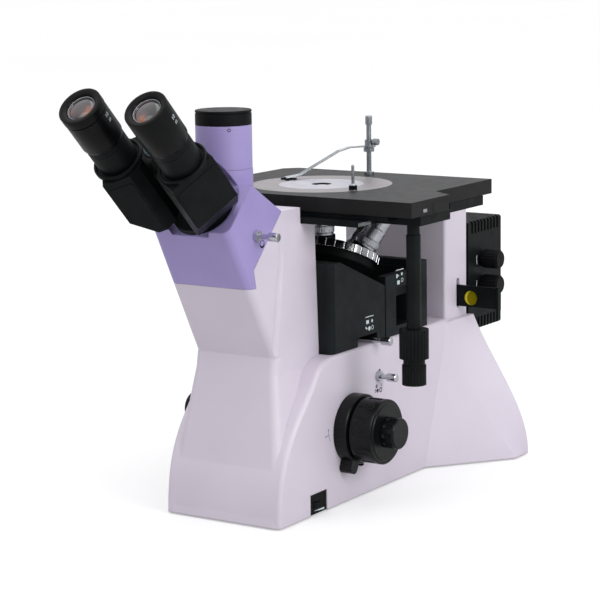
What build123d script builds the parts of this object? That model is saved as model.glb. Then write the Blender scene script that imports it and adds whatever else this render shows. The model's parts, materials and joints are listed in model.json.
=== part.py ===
"""Inverted metallurgical microscope, one STEP file for each sub-part.

Millimetres.  x = 0, y = 0 is the axis of the objective in use and z = 0 is the bench.
+Z is up, the user sits at -Y and +X is the user's right hand.
"""
from build123d import *
from math import cos, hypot, radians, sin, tan
import os

# Fits
RUNNING = 0.05
SLIDING = 0.3
LOOSE = 0.4
PAST = 5.0

# Stand
FOOT_DROP = 1.5
BODY_HALF = 65.3
FRONT_Y = -182.0
CREASE_Y = -154.3
CREASE_Z = 156.6
COLUMN_HALF = 47.0
COLUMN_BACK = -82.0
COLUMN_TOP = 292.5
COLUMN_CORNER = 8.0
SEAT_Z = 277.0
NOTCH_Y = -106.0
SHELF_Z = 148.5
WALL = 9.0
ARCH_EDGE = 4.0
ARCH = [(-174.0, 50.0), (-149.0, 94.5), (-120.0, 127.0)]
ARCH_BACK = -84.0
WAIST_Z = 140.0
FLARE_Z = 56.0
FLARE_IN = 6.6
WING_FRONT = 88.0
WING_SIDE = 169.0
REAR_HALF = 61.0
REAR_FRONT = 140.0
REAR_BACK = 186.5
FOOT_HALF = 128.0
FOOT_BACK = 196.5
COVE_R = 7.0
# Sections of the rear foot: height, front of the wing, then the side and the back corner, each with
# its share of the spread and its y
FOOT_LEVELS = [
    (FOOT_DROP, WING_FRONT, 1.0, WING_SIDE, 1.0, FOOT_BACK),
    (45.0, 102.0, 0.633, 154.0, 0.869, FOOT_BACK - 2.0),
    (95.0, 118.6, 0.266, 141.0, 0.45, FOOT_BACK - 4.0),
    (SHELF_Z - 2.5, 133.3, 0.019, 135.0, 0.021, FOOT_BACK - 6.5),
]
BASE_PLATE_T = 2.5
CAVITY_FRONT = -125.0
CAVITY_BACK = 172.0
CAVITY_STEP = 26.0
BASE_INSET = 7.0
FOOT_R = 10.0
FRONT_FOOT_IN = 19.3
FRONT_FOOT_Y = -150.0
REAR_FOOT_IN = 23.0
REAR_FOOT_Y = 172.0

# Head
SEAM_Z = 226.8
SEAM_Y = -193.6
HEAD_HALF = 42.0
TOE = 10.6
TOE_LEAN = 3.0
TOE_RISE = 17.0
HEAD_TIP = (-224.0, 282.5)
HEAD_TOP = (-184.0, 321.5)
PHOTO_Y = -165.6
PHOTO_R = 26.5
PHOTO_SEAM_Z = 333.5
PHOTO_TOP_Z = 373.8
CAP_H = 13.7
CAP_PLUG_R = 21.0
CAP_PLUG_H = 6.0
PHOTO_BORE_R = 12.0
PHOTO_WALL_GAP = 0.4
HINGE_Z = 266.1
POCKET_R = 37.0
POCKET_FLOOR = 47.0
HUB_R = 30.0
HUB_T = 6.0

# Binocular arms, measured from the hinge axis
ARM_TURN = 29.5
EYE_OUT = 40.7
BOX_LOW = 62.0
BOX_HIGH = 138.0
BOX_OUT = 57.5
BOX_IN = 18.5
BOX_FRONT = -24.5
BOX_REAR = 22.0
BOX_BEVEL = (18.0, 23.0)
BOX_SLANT = (31.0, 21.5)
BOX_SLANT_Y = (-17.0, -8.0)
HUB_CAP_T = 6.0
POST_R = 11.0
LUG_R = 16.5
LUG_H = 24.0
LUG_GAP = 2.0
FLANGE_R = 23.5
FLANGE_H = 5.0
FLANGE_LIP = 4.0
FLANGE_TROUGH = 1.8
TUBE_R = 18.75
TUBE_H = 20.0
SLEEVE_R = 15.0
EYEPIECE_H = 46.0
EYEPIECE_SINK = 22.0
CUP_DEPTH = 7.0
LENS_R = 12.0
EYE_RING_H = 7.0
EYE_RING_R = 19.1
EYE_GROOVE = 1.2

# Focus drive
FOCUS_Y = -53.0
FOCUS_Z = 72.7
COLLAR_R = 34.0
COLLAR_H = 13.2
COLLAR_TAB = 45.0
COLLAR_TAB_W = 12.0
COLLAR_TURN = -117.0
COARSE_R = 31.5
COARSE_TIP_R = 28.0
COARSE_H = 26.5
COARSE_NECK_R = 26.5
COARSE_NECK_H = 2.5
COARSE_TAPER = 2.0
COARSE_SCOOP = (5.0, 1.3, 6.0)
COARSE_SCOOPS = 12
LEFT_COARSE_H = 30.0
FINE_R = 15.0
FINE_H = 14.5
LEFT_FINE_H = 29.0
FINE_SCOOP = (3.0, 1.2, 4.2)
FINE_SCOOPS = 10
COARSE_SHAFT_R = 4.5
FINE_SHAFT_R = 2.5
PINION_R = 6.0
PINION_HALF = 9.0

# Nosepiece
TURRET_TILT = 25.0
APEX_Z = 175.0
RIM_R = 44.0
RIM_LOW = 55.5
RIM_HIGH = 65.0
OBJECTIVE_R = 12.0
PORT_R = 13.2
PORT_H = 4.0
SCREW_R = 10.0
SLIDE_HALF = 18.0
SLIDE_T = 22.0
SEAT_HUB_R = 22.0
SEAT_LOW = 30.0
PIVOT_PIN_R = 6.0
ARM_HALF = 30.0
ARM_FRONT = 34.0
ARM_LOW = 18.0
ARM_HIGH = 35.0
SLIDE_LOW = 40.0
GRIP_RIDGES = 30
GRIP_GROOVE_R = 1.5
# Name, length above the shoulder and radius of the tip
OBJECTIVES = [
    ("objective_10x", 36.0, 8.0),
    ("objective_5x", 32.0, 10.0),
    ("objective_20x", 38.0, 7.0),
    ("objective_50x", 39.0, 6.0),
]

# Optics housing
HOUSING_HALF = 62.0
HOUSING_WALL = 3.5
HOUSING_HIGH = 236.0
HOUSING_FLAT_Y = -66.0
HOUSING_LOW = 201.0
HOUSING_END = 18.0
HOUSING_CORNER = 7.0
HOUSING_REAR_CORNER = 2.5
BLOCK_END = 99.7
BLOCK_PLATE_Y = 88.0
BLOCK_HIGH = 216.5
BLOCK_LOW = 210.0
BLOCK_FLOOR = 190.0
BLOCK_WALL = 9.0
POCKET_Y = (38.0, 72.0)
POCKET_Z = (157.5, 196.0)
NOTCH_SPAN = (-35.0, 1.0)
NOTCH_TOP = 157.5
CUBE_HALF = 20.0
CUBE_Y = (-19.0, 22.0)
CUBE_H = 40.0
BEAM_Z = 167.5
BEAM_R = 14.0

# Illuminator
LAMP_FRONT = 189.0
LAMP_BACK = 262.0
LAMP_LOW = 126.0
LAMP_HIGH = 243.0
LAMP_WALL = 2.5
LAMP_EDGE = 3.0
LAMP_SHAFT_R = 3.0
LAMP_COLLAR_H = 3.0
LAMP_KNOB_Y = 220.0
LAMP_Y = 232.0
COLLECTOR_L = 16.0
LAMP_KNOBS = {"lamp_knob_upper": 201.0, "lamp_knob_lower": 174.0}
LAMP_KNOB_R = 10.0
LAMP_KNOB_H = 21.7
VENTS = 9
VENT_W = 3.6
VENT_H = 13.0
FILTER_Y = 166.7
FILTER_SLOT_W = 6.5
FILTER_SLOT = (156.4, 187.3)
FILTER_MOUTH = 6.0
FILTER_T = 4.0
FILTER_LOW = 158.2
FILTER_H = 22.0
FILTER_OUT = 110.0
FILTER_IN = 20.0
FILTER_GRIP = 3.0
GLASS_R = 7.7
GLASS_PITCH = 38.5

# Stage
STAGE_RISE = 24.0
PLATE_LEFT = -110.5
PLATE_RIGHT = 131.0
PLATE_FRONT = -90.0
PLATE_BACK = 110.0
PLATE_T = 14.4
PLATE_SKIN = 8.5
PLATE_RIM = 9.0
PLATE_CORNER = 12.0
EAR_RIGHT = 155.0
EAR_BACK = -19.6
RING_R = 70.0
RING_T = 3.5
RING_SEAT = 4.0
INSERT_R = 42.0
INSERT_T = 2.0
HOLE_R = 10.0
BASE_T = 4.5
BASE_HALF = 106.0
BASE_FRONT = -104.5
BASE_BACK = 110.0
BASE_HOLE_R = 84.0
CARRIAGE_FRONT = -88.0
CARRIAGE_BACK = 92.0
DRIVE_X = 140.0
DRIVE_Y = -61.0
SLEEVE_L = 98.7
SLEEVE_NECK_H = 9.0
SLEEVE_NECK_R = 6.0
DRIVE_SLEEVE_R = 6.9
DRIVE_BORE_R = 4.5
X_SHAFT_R = 2.5
X_NECK_H = 6.0
Y_KNOB_R = 14.0
Y_KNOB_H = 28.0
X_KNOB_R = 11.5
X_KNOB_H = 19.0

# Specimen clamp
POST_Y = 90.5
CLAMP_POST_R = 2.5
CLAMP_POST_H = 60.0
CLAMP_RISE = 29.5
CLAMP_FOOT = (-48.5, 15.0)
PIN_XY = (55.1, -30.0)
PIN_R = 1.5
PIN_NUT_R = 3.75
PIN_H = 24.5
POST_SEAT = 6.0
ARM_STRIP_T = 1.2
ARM_STRIP_HALF = 3.2
COLLAR_HUB_R = 4.2
CLAMP_FOOT_L = 8.0

# Pull rods: a rod's axis is (y, z)
PATH_ROD = (-3.4, 114.5)
CONTRAST_ROD = (-10.0, 151.8)
HEAD_ROD = (-180.3, 275.0)
ROD_R = 2.5
ROD_KNOB_R = 4.2
ROD_KNOB_H = 11.0
ROD_OUT = 10.7
BUSH_R = 4.5
BUSH_OUT = 4.0

# Control panel and rear panel
PANEL_Y = (-128.0, -99.5)
PANEL_TOP = 21.5
PANEL_DEEP = 16.0
WHEEL_R = 9.0
WHEEL_W = 5.0
WHEEL_Y = -118.0
WHEEL_Z = 11.0
WHEEL_PROUD = 1.2
PIVOT_R = 1.5
REAR_PANEL_HALF = 45.0
REAR_PANEL_Z = (30.0, 75.0)
REAR_PANEL_DEEP = 6.0
PANEL_INSET = 2.0
INLET_X = 20.0
SWITCH_X = -22.0
SOCKET_W = 27.0
SOCKET_H = 19.5
SOCKET_DEEP = 22.0
SOCKET_WALL = 2.0
SWITCH_HALF = 7.0
SWITCH_RISE = 11.0
ROCKER_HALF = 6.6
ROCKER_PIVOT_R = 1.2

PARTS = {}

# Planes that several pieces share
HINGE = Plane(origin=(0, PHOTO_Y, HINGE_Z), x_dir=(1, 0, 0), z_dir=(0, -1, 1))
TILT = radians(TURRET_TILT)
TURRET = Plane(origin=(0, 0, APEX_Z), x_dir=(1, 0, 0), z_dir=(0, sin(TILT), cos(TILT)))
SOCKET_L = RIM_HIGH / cos(TILT)
FOCUS = Plane(origin=(0, FOCUS_Y, FOCUS_Z), x_dir=(0, 1, 0), z_dir=(1, 0, 0))
FOCUS_LEFT = Plane(origin=(0, FOCUS_Y, FOCUS_Z), x_dir=(0, 1, 0), z_dir=(-1, 0, 0))
DRIVE = Plane(origin=(DRIVE_X, DRIVE_Y, 0))
BEAM = Plane(origin=(0, 0, BEAM_Z), x_dir=(1, 0, 0), z_dir=(0, 1, 0))
BODY_FACE = BODY_HALF + SLIDING
FOOT_TOP = FOOT_DROP + 0.5
CEILING = SHELF_Z - WALL
STAGE_TOP = SEAT_Z + STAGE_RISE
SLEEVE_LOW = SEAT_Z - SLEEVE_L
CLAMP_Z = STAGE_TOP + CLAMP_RISE
PANEL_FACE = FOOT_BACK - PANEL_INSET
PANEL_MIDDLE = sum(REAR_PANEL_Z) / 2
FRONT_FEET = [(BODY_HALF - FRONT_FOOT_IN, FRONT_FOOT_Y), (FRONT_FOOT_IN - BODY_HALF, FRONT_FOOT_Y)]
REAR_FEET = [(FOOT_HALF - REAR_FOOT_IN, REAR_FOOT_Y), (REAR_FOOT_IN - FOOT_HALF, REAR_FOOT_Y)]
SLIDE_FACE = FOCUS_Y + PINION_R + 0.2 + SLIDING
EYE_BASE = BOX_HIGH + FLANGE_H + TUBE_H
BASE_TOP = SEAT_Z + BASE_T
BLANK_TOP = COLUMN_TOP + 60
PLATE_LOW = STAGE_TOP - PLATE_T


def keep(name, *solids):
    """File the solids of one sub-part under its name."""
    PARTS[name] = solids[0] if len(solids) == 1 else Compound(children=list(solids))


def block(x, y, z):
    """Box between the low and high values given for each axis."""
    middle = [(low + high) / 2 for low, high in (x, y, z)]
    size = [high - low for low, high in (x, y, z)]
    return Pos(*middle) * Box(*size)


def bar(plane, radius, low, high):
    """Round bar along the plane's normal."""
    return plane.location * Pos(0, 0, (low + high) / 2) * Cylinder(radius, high - low)


def turned(plane, *profile):
    """Solid of revolution about the plane's normal, from (radius, height) points."""
    return plane.location * revolve(Plane.XZ * Polygon(*profile, align=None), Axis.Z)


def prism(plane, points, low, high):
    """Polygon pushed along the plane's normal."""
    face = plane.offset(low) * Polygon(*points, align=None)
    return extrude(face, high - low, dir=plane.z_dir)


def fluted(plane, radius, low, high, count, groove):
    """Knob body with fine round grooves from end to end."""
    rim = Circle(radius) - PolarLocations(radius + groove * 0.3, count) * Circle(groove)
    return extrude(plane.offset(low) * rim, high - low)


def scalloped(plane, radius, low, high, count, scoop):
    """Knob body with finger hollows; a scoop is (ball radius, depth, distance of its ends)."""
    ball_r, depth, margin = scoop
    body = bar(plane, radius, low, high)
    for number in range(count):
        turn = Rot(0, 0, 360 / count * number) * Pos(radius + ball_r - depth, 0, 0)
        spot = Plane(plane.location * turn)
        ends = [spot.location * Pos(0, 0, z) * Sphere(ball_r) for z in (low + margin, high - margin)]
        body -= bar(spot, ball_r, low + margin, high - margin) + ends
    return body


def side_prism(points, half):
    """Side profile of (y, z) points, as thick to the left as to the right."""
    return prism(Plane.YZ, points, -half, half)


def place(x, y, z=0):
    """Upright axis through a point."""
    return Plane(origin=(x, y, z))


def crossway(y, z):
    """Axis along X through a point of the side view."""
    return Plane(origin=(0, y, z), x_dir=(0, 1, 0), z_dir=(1, 0, 0))


def outline_face(plane, *lines):
    """Face on a plane, bounded by lines drawn in the plane's own coordinates."""
    return make_face([plane * edge for line in lines for edge in line.edges()])


def front_view():
    """Front column and head as seen from the front, tapering upwards."""
    top = BLANK_TOP
    foot = (BODY_HALF, FOOT_DROP)
    waist = (COLUMN_HALF, WAIST_Z)
    right = Spline(foot, (BODY_HALF - FLARE_IN, FLARE_Z), waist)
    upper = Polyline(waist, (COLUMN_HALF, CREASE_Z), (HEAD_HALF, top), (0, top))
    floor = Line((0, FOOT_DROP), foot)
    spine = Line((0, top), (0, FOOT_DROP))
    half = outline_face(Plane.XZ, floor, right, upper, spine)
    return half + mirror(half, Plane.YZ)


def side_at(z):
    """Half width of the column and head above the crease."""
    return COLUMN_HALF + (HEAD_HALF - COLUMN_HALF) * (z - CREASE_Z) / (BLANK_TOP - CREASE_Z)


def seam():
    """Corners of the joint between stand and head, from front to back, in the side view."""
    low = (SEAM_Y + TOE, SEAM_Z)
    bend = (low[0] - TOE_LEAN, SEAM_Z + TOE_RISE)
    return [low, bend, (bend[0] + COLUMN_TOP - bend[1], COLUMN_TOP)]


def head_room():
    """Everything above the seam, taken from the stand and kept for the head."""
    low, bend, top = seam()
    beyond = (top[0] + 60, top[1] + 60)
    outline = [(2 * SEAM_Y, SEAM_Z), low, bend, top, beyond, (2 * SEAM_Y, beyond[1])]
    return side_prism(outline, BODY_HALF + 5)


def front_blank():
    """Front column and head in one, before the seam divides them."""
    profile = [
        (FRONT_Y, FOOT_DROP),
        (CREASE_Y, CREASE_Z),
        HEAD_TIP,
        HEAD_TOP,
        seam()[-1],
        (NOTCH_Y, COLUMN_TOP),
        (NOTCH_Y, SEAT_Z),
        (COLUMN_BACK, SEAT_Z),
        (COLUMN_BACK, FOOT_DROP),
    ]
    across = extrude(front_view(), -2 * FRONT_Y, both=True)
    body = across & side_prism(profile, BODY_HALF + 5)
    corners = [e for e in body.edges() if e.center().Y < SEAM_Y + 50 and abs(e.center().X) > HEAD_HALF]
    front = [e for e in corners if e.center().Z < HEAD_TIP[1] - 5 and e.length > COLUMN_CORNER]
    return fillet(front, COLUMN_CORNER)


def focus_housing():
    """Middle of the stand, with the long arch on its front."""
    start = (FRONT_Y + 1, FOOT_DROP)
    arch = Spline(start, *ARCH, (ARCH_BACK, SHELF_Z), tangents=[(0.05, 1), (1, 0.08)])
    back = Polyline((ARCH_BACK, SHELF_Z), (REAR_FRONT, SHELF_Z), (REAR_FRONT, FOOT_DROP), start)
    body = extrude(outline_face(Plane.YZ, arch, back), BODY_HALF, both=True)
    front_edges = [edge for edge in body.edges() if edge.length > 150 and abs(edge.center().Y) > 60]
    return fillet([e for e in front_edges if e.center().Y < 0 and e.center().Z > 60], ARCH_EDGE)


def rear_foot():
    """Spread foot that rises in a curve to the rear column."""
    faces = []
    for z, wing_y, side_share, side_y, back_share, back_y in FOOT_LEVELS:
        spread = FOOT_HALF - BODY_HALF
        side = (BODY_HALF + spread * side_share, side_y)
        back = (BODY_HALF + spread * back_share, back_y)
        corners = [(BODY_HALF, wing_y), side, back]
        outline = corners + [(-x, y) for x, y in reversed(corners)]
        faces.append(Plane.XY.offset(z) * Polygon(*outline, align=None))
    return loft(faces)


def base_outline():
    """Outline of the stand on the bench."""
    front = [(BODY_HALF, FRONT_Y), (BODY_HALF, WING_FRONT)]
    corners = front + [(FOOT_HALF, WING_SIDE), (FOOT_HALF, FOOT_BACK)]
    return Polygon(*corners, *[(-x, y) for x, y in reversed(corners)], align=None)


def cove():
    """Slanted groove between the head's support and the column, on the right."""
    low = Vector(COLUMN_HALF + 3.5, -156, 160)
    high = Vector(COLUMN_HALF + 3.5, -133, COLUMN_TOP + 6)
    line = Plane(origin=low, z_dir=high - low)
    length = (high - low).length
    return bar(line, COVE_R, 0, length) + line.location * Sphere(COVE_R)


def stand():
    """Casting, base plate and feet."""
    body = front_blank() - head_room()
    body += focus_housing()
    body += rear_foot()
    tower = block((-REAR_HALF, REAR_HALF), (REAR_FRONT, REAR_BACK), (SHELF_Z - 10, SEAT_Z))
    body += fillet(tower.edges().filter_by(Axis.Z), 3)
    body -= cove() + mirror(cove(), Plane.YZ)

    # Cavity under the shelf, the column and the rear foot
    inside = BODY_HALF - WALL
    body -= block((-inside, inside), (CAVITY_FRONT, CAVITY_BACK), (0, CEILING - CAVITY_STEP))
    body -= block((-inside, inside), (FOCUS_Y - 35, CAVITY_BACK), (0, CEILING))
    body -= extrude(offset(base_outline(), -BASE_INSET + LOOSE), FOOT_TOP + BASE_PLATE_T)

    # Slots, bores and recesses
    slide_slot = (FOCUS_Y - 2, FOCUS_Y + SLIDE_T + 12)
    body -= block((-SLIDE_HALF - 3, SLIDE_HALF + 3), slide_slot, (CEILING - PAST, SHELF_Z + PAST))
    body -= bar(FOCUS, COARSE_SHAFT_R + RUNNING, -BODY_HALF - PAST, BODY_HALF + PAST)
    body -= bar(crossway(*PATH_ROD), BUSH_R, BODY_HALF - WALL - PAST, BODY_HALF + PAST)
    slot = RectangleRounded(FILTER_SLOT_W, FILTER_SLOT[1] - FILTER_SLOT[0], FILTER_SLOT_W / 2 - 0.1)
    mouth = crossway(FILTER_Y, sum(FILTER_SLOT) / 2).offset(REAR_HALF - FILTER_MOUTH)
    body -= extrude(mouth * slot, FILTER_MOUTH + PAST)
    body -= filter_block_shape(-REAR_HALF - PAST, REAR_HALF, SLIDING)
    body -= bar(BEAM, BEAM_R, REAR_FRONT - PAST, REAR_BACK + PAST)
    body -= bar(place(0, 0), BEAM_R - 4, CEILING - PAST, SHELF_Z + PAST)
    body -= panel_block(LOOSE)
    body -= rear_panel_block(LOOSE)
    body -= inlet_block(LOOSE) + switch_block(LOOSE) + switch_frame(LOOSE)
    lamp_bay = REAR_HALF + LOOSE
    body -= block((-lamp_bay, lamp_bay), (LAMP_FRONT - SLIDING, LAMP_BACK), (LAMP_LOW - LOOSE, LAMP_HIGH))
    keep("stand_casting", body)

    plate = extrude(Pos(0, 0, FOOT_TOP) * offset(base_outline(), -BASE_INSET), BASE_PLATE_T)
    keep("base_plate", plate - panel_block(LOOSE) - rear_panel_block(LOOSE))
    profile = [(0, 0), (FOOT_R - 1, 0), (FOOT_R, FOOT_TOP), (0, FOOT_TOP)]
    keep("rubber_feet", *[turned(place(x, y), *profile) for x, y in FRONT_FEET + REAR_FEET])


def filter_block_shape(left, right, gap=0.0):
    """Blank of the filter slider, or its guide slot when grown by a gap."""
    return block(
        (left, right),
        (FILTER_Y - FILTER_T / 2 - gap, FILTER_Y + FILTER_T / 2 + gap),
        (FILTER_LOW - gap, FILTER_LOW + FILTER_H + gap),
    )


def inlet_block(gap=0.0):
    """Body of the power inlet."""
    half_w = SOCKET_W / 2 + SOCKET_WALL + gap
    half_h = SOCKET_H / 2 + SOCKET_WALL + gap
    return block(
        (INLET_X - half_w, INLET_X + half_w),
        (PANEL_FACE - SOCKET_DEEP - 3 - gap, PANEL_FACE + 1.5),
        (PANEL_MIDDLE - half_h, PANEL_MIDDLE + half_h),
    )


def switch_frame(gap=0.0):
    """Frame behind the panel that carries the switch."""
    return block(
        (SWITCH_X - SWITCH_HALF - 2 - gap, SWITCH_X + SWITCH_HALF + 2 + gap),
        (PANEL_FACE - 12 - gap, PANEL_FACE),
        (PANEL_MIDDLE - SWITCH_RISE - 2 - gap, PANEL_MIDDLE + SWITCH_RISE + 2 + gap),
    )


def switch_block(gap=0.0):
    """Room for the power switch."""
    return block(
        (SWITCH_X - SWITCH_HALF - gap, SWITCH_X + SWITCH_HALF + gap),
        (PANEL_FACE - 20 - gap, PANEL_FACE + PAST),
        (PANEL_MIDDLE - SWITCH_RISE - gap, PANEL_MIDDLE + SWITCH_RISE + gap),
    )


def panel_block(gap=0.0):
    """Corner box that holds the brightness wheel, grown by the gap."""
    return block(
        (BODY_HALF - PANEL_DEEP - gap, BODY_HALF - 0.8 + 10 * (gap > 0)),
        (PANEL_Y[0] - gap, PANEL_Y[1] + gap),
        (FOOT_DROP + 0.5 - 5 * (gap > 0), PANEL_TOP + gap),
    )


def control_panel():
    """Corner box and its brightness wheel, which stands a little out of the side."""
    spot = Plane(origin=(BODY_HALF - WHEEL_R + WHEEL_PROUD, WHEEL_Y, WHEEL_Z))
    half = WHEEL_W / 2
    panel = panel_block()
    panel -= bar(spot, WHEEL_R + LOOSE, -half - LOOSE, half + LOOSE)
    panel -= bar(spot, PIVOT_R + RUNNING, -half - 4, half + 4)
    keep("control_panel", panel)
    wheel = fluted(spot, WHEEL_R, -half, half, 24, 0.5)
    wheel += bar(spot, PIVOT_R, -half - 3.5, half + 3.5)
    keep("brightness_wheel", wheel)


def rear_panel_block(gap=0.0):
    """Plate at the back, or its recess when grown by a gap."""
    return block(
        (-REAR_PANEL_HALF - gap, REAR_PANEL_HALF + gap),
        (PANEL_FACE - REAR_PANEL_DEEP - gap, PANEL_FACE + 12 * (gap > 0)),
        (REAR_PANEL_Z[0] - gap, REAR_PANEL_Z[1] + gap),
    )


def rear_panel():
    """Power inlet and switch, in a plate let into the back of the stand."""
    axle = crossway(PANEL_FACE - 7, PANEL_MIDDLE)
    panel = rear_panel_block() + switch_frame() - inlet_block() - switch_block()
    panel -= bar(axle, ROCKER_PIVOT_R + RUNNING, SWITCH_X - 9, SWITCH_X + 9)
    keep("rear_panel", panel)

    room = SOCKET_W / 2
    rise = SOCKET_H / 2
    socket_floor = PANEL_FACE - SOCKET_DEEP
    inlet = inlet_block() - block(
        (INLET_X - room, INLET_X + room),
        (socket_floor + 3, PANEL_FACE + PAST),
        (PANEL_MIDDLE - rise, PANEL_MIDDLE + rise),
    )
    for x, z in ((0, 3), (-7, -3), (7, -3)):
        middle = PANEL_MIDDLE + z
        blade = (INLET_X + x - 1, INLET_X + x + 1)
        inlet += block(blade, (socket_floor + 2, PANEL_FACE - 4), (middle - 2.5, middle + 2.5))
    keep("power_inlet", inlet)

    tilt = [(-11, -8), (2, -9), (-0.5, 0), (-0.5, 9), (-11, 8)]
    rocker = side_prism([(PANEL_FACE + y, PANEL_MIDDLE + z) for y, z in tilt], ROCKER_HALF)
    pivot = bar(axle, ROCKER_PIVOT_R, SWITCH_X - 8.5, SWITCH_X + 8.5)
    keep("power_switch", Pos(SWITCH_X, 0, 0) * rocker + pivot)


def housing():
    """Black cover, block and beam parts on the shelf."""
    low = SHELF_Z
    profile = [
        (COLUMN_BACK, low),
        (COLUMN_BACK, HOUSING_HIGH),
        (HOUSING_FLAT_Y, HOUSING_HIGH),
        (HOUSING_END, HOUSING_LOW),
        (HOUSING_END, low),
    ]
    outer = side_prism(profile, HOUSING_HALF)
    upright = outer.edges().filter_by(Axis.Z)
    outer = fillet([edge for edge in upright if edge.center().Y < HOUSING_FLAT_Y], HOUSING_CORNER)
    upright = outer.edges().filter_by(Axis.Z)
    outer = fillet([edge for edge in upright if edge.center().Y > HOUSING_END - 1], HOUSING_REAR_CORNER)
    inner = HOUSING_HALF - HOUSING_WALL
    front = COLUMN_BACK + HOUSING_WALL
    ceiling = HOUSING_HIGH - HOUSING_WALL
    cover = outer - block((-inner, inner), (front, HOUSING_END + PAST), (low - PAST, ceiling))
    cover -= block((-inner, inner), (HOUSING_FLAT_Y, HOUSING_END + PAST), (low - PAST, HOUSING_HIGH + PAST))
    cover -= block((HOUSING_HALF - 10, HOUSING_HALF + PAST), NOTCH_SPAN, (low - PAST, NOTCH_TOP))
    keep("housing_cover", cover)

    middle = block((-HOUSING_HALF, HOUSING_HALF), (HOUSING_END, BLOCK_PLATE_Y), (low, BLOCK_LOW))
    plate = block((-HOUSING_HALF, HOUSING_HALF), (BLOCK_PLATE_Y, BLOCK_END), (low, BLOCK_HIGH))
    inner = HOUSING_HALF - BLOCK_WALL
    middle -= block((-inner, inner), (HOUSING_END - PAST, POCKET_Y[0] - 4), (low - PAST, BLOCK_LOW + PAST))
    step_y = (HOUSING_END - PAST, BLOCK_PLATE_Y - 6)
    middle -= block((-inner, inner), step_y, (BLOCK_FLOOR, BLOCK_LOW + PAST))
    body = middle + plate + bar(BEAM, BEAM_R + 3, BLOCK_END, REAR_FRONT)
    body -= bar(BEAM, BEAM_R, 0, REAR_FRONT + PAST)
    body -= block((HOUSING_HALF - 30, HOUSING_HALF + PAST), POCKET_Y, (POCKET_Z[0], BLOCK_FLOOR - 4))
    body -= block((HOUSING_HALF - BLOCK_WALL + 3, HOUSING_HALF + PAST), POCKET_Y, POCKET_Z)
    keep("illuminator_block", body)

    cube = block((-CUBE_HALF, CUBE_HALF), CUBE_Y, (low, low + CUBE_H))
    cube -= bar(BEAM, BEAM_R - 2, CUBE_Y[0] + 10, CUBE_Y[1] + PAST)
    cube -= bar(place(0, 0, low), BEAM_R - 4, -PAST, CUBE_H + PAST)
    cube -= bar(crossway(*CONTRAST_ROD), ROD_R + RUNNING, CUBE_HALF - 12, CUBE_HALF + PAST)
    keep("filter_block", cube)


def pull_rod(name, axis, inner, face):
    """Chrome rod with a turned knob that starts at the face."""
    end = face + ROD_KNOB_H
    rod = bar(axis, ROD_R, inner, face)
    rod += turned(axis, (0, face), (ROD_R + 0.6, face), (ROD_KNOB_R, face + 1.2), (ROD_KNOB_R, end - 0.8),
                  (ROD_KNOB_R - 0.8, end), (0, end))
    keep(name, rod)


def bushing(axis, seat, face):
    """Flanged bush for a pull rod, proud of the wall by its collar."""
    bore = ROD_R + RUNNING
    out = face + BUSH_OUT
    rim = [(BUSH_R, face), (BUSH_R + 1.0, face), (BUSH_R + 0.4, out)]
    return turned(axis, (bore, seat), (BUSH_R, seat), *rim, (bore, out))


def focus_drive():
    """Coarse shaft and knobs, the fine shaft through them, the tension collar and the guide."""
    right = BODY_FACE + COLLAR_H + SLIDING
    left = BODY_FACE
    coarse = bar(FOCUS, COARSE_SHAFT_R, -left - LEFT_COARSE_H + 2, right + COARSE_H - 2)
    coarse += bar(FOCUS, PINION_R + 0.2, -PINION_HALF, PINION_HALF)
    coarse -= bar(FOCUS, FINE_SHAFT_R + RUNNING, -left - 2 * COARSE_R, right + 2 * COARSE_R)
    keep("coarse_shaft", coarse)

    knobs = [coarse_knob(FOCUS, right, COARSE_H), coarse_knob(FOCUS_LEFT, left, LEFT_COARSE_H)]
    keep("coarse_knobs", *knobs)

    tip_right = right + COARSE_H + SLIDING
    tip_left = left + LEFT_COARSE_H + SLIDING
    fine = bar(FOCUS, FINE_SHAFT_R, -tip_left - 8, tip_right + 8)
    fine += fine_knob(FOCUS, tip_right, FINE_H) + fine_knob(FOCUS_LEFT, tip_left, LEFT_FINE_H)
    keep("fine_drive", fine)

    tab = RectangleRounded(COLLAR_TAB, COLLAR_TAB_W, COLLAR_TAB_W / 2 - 0.5)
    tab = Rot(0, 0, COLLAR_TURN) * Pos(COLLAR_TAB / 2, 0) * tab
    collar = extrude(FOCUS.offset(BODY_FACE) * (Circle(COLLAR_R - 1) + tab), COLLAR_H)
    high = BODY_FACE + COLLAR_H
    rim = [(COLLAR_R, BODY_FACE), (COLLAR_R, high - 1), (COLLAR_R - 1, high)]
    collar += turned(FOCUS, (0, BODY_FACE), *rim, (0, high))
    collar -= bar(FOCUS, COARSE_SHAFT_R + RUNNING, 0, 2 * high)
    keep("tension_collar", collar)

    guide_y = SLIDE_FACE + SLIDE_T + SLIDING
    half = BODY_HALF - WALL
    keep("focus_guide", block((-half, half), (guide_y, guide_y + 12), (30, CEILING)))


def coarse_knob(side, start, height):
    """Large knob with finger hollows, on a narrower neck."""
    body_low = start + COARSE_NECK_H
    end = start + height
    body_high = end - COARSE_TAPER
    knob = bar(side, COARSE_NECK_R, start, body_low)
    knob += scalloped(side, COARSE_R, body_low, body_high, COARSE_SCOOPS, COARSE_SCOOP)
    rim = [(COARSE_R, body_high), (COARSE_R - 1, end - 1), (COARSE_TIP_R, end - 1)]
    knob += turned(side, (0, body_high), *rim, (COARSE_TIP_R - 1, end), (0, end))
    knob -= bar(side, COARSE_SHAFT_R, start - PAST, end - 2)
    return knob - bar(side, FINE_SHAFT_R + RUNNING, start - PAST, end + PAST)


def fine_knob(side, start, height):
    """Small knob at the end of the fine shaft."""
    end = start + height
    knob = scalloped(side, FINE_R, start, end - 1, FINE_SCOOPS, FINE_SCOOP)
    return knob + turned(side, (0, end - 1), (FINE_R, end - 1), (FINE_R - 1, end), (0, end))


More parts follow.
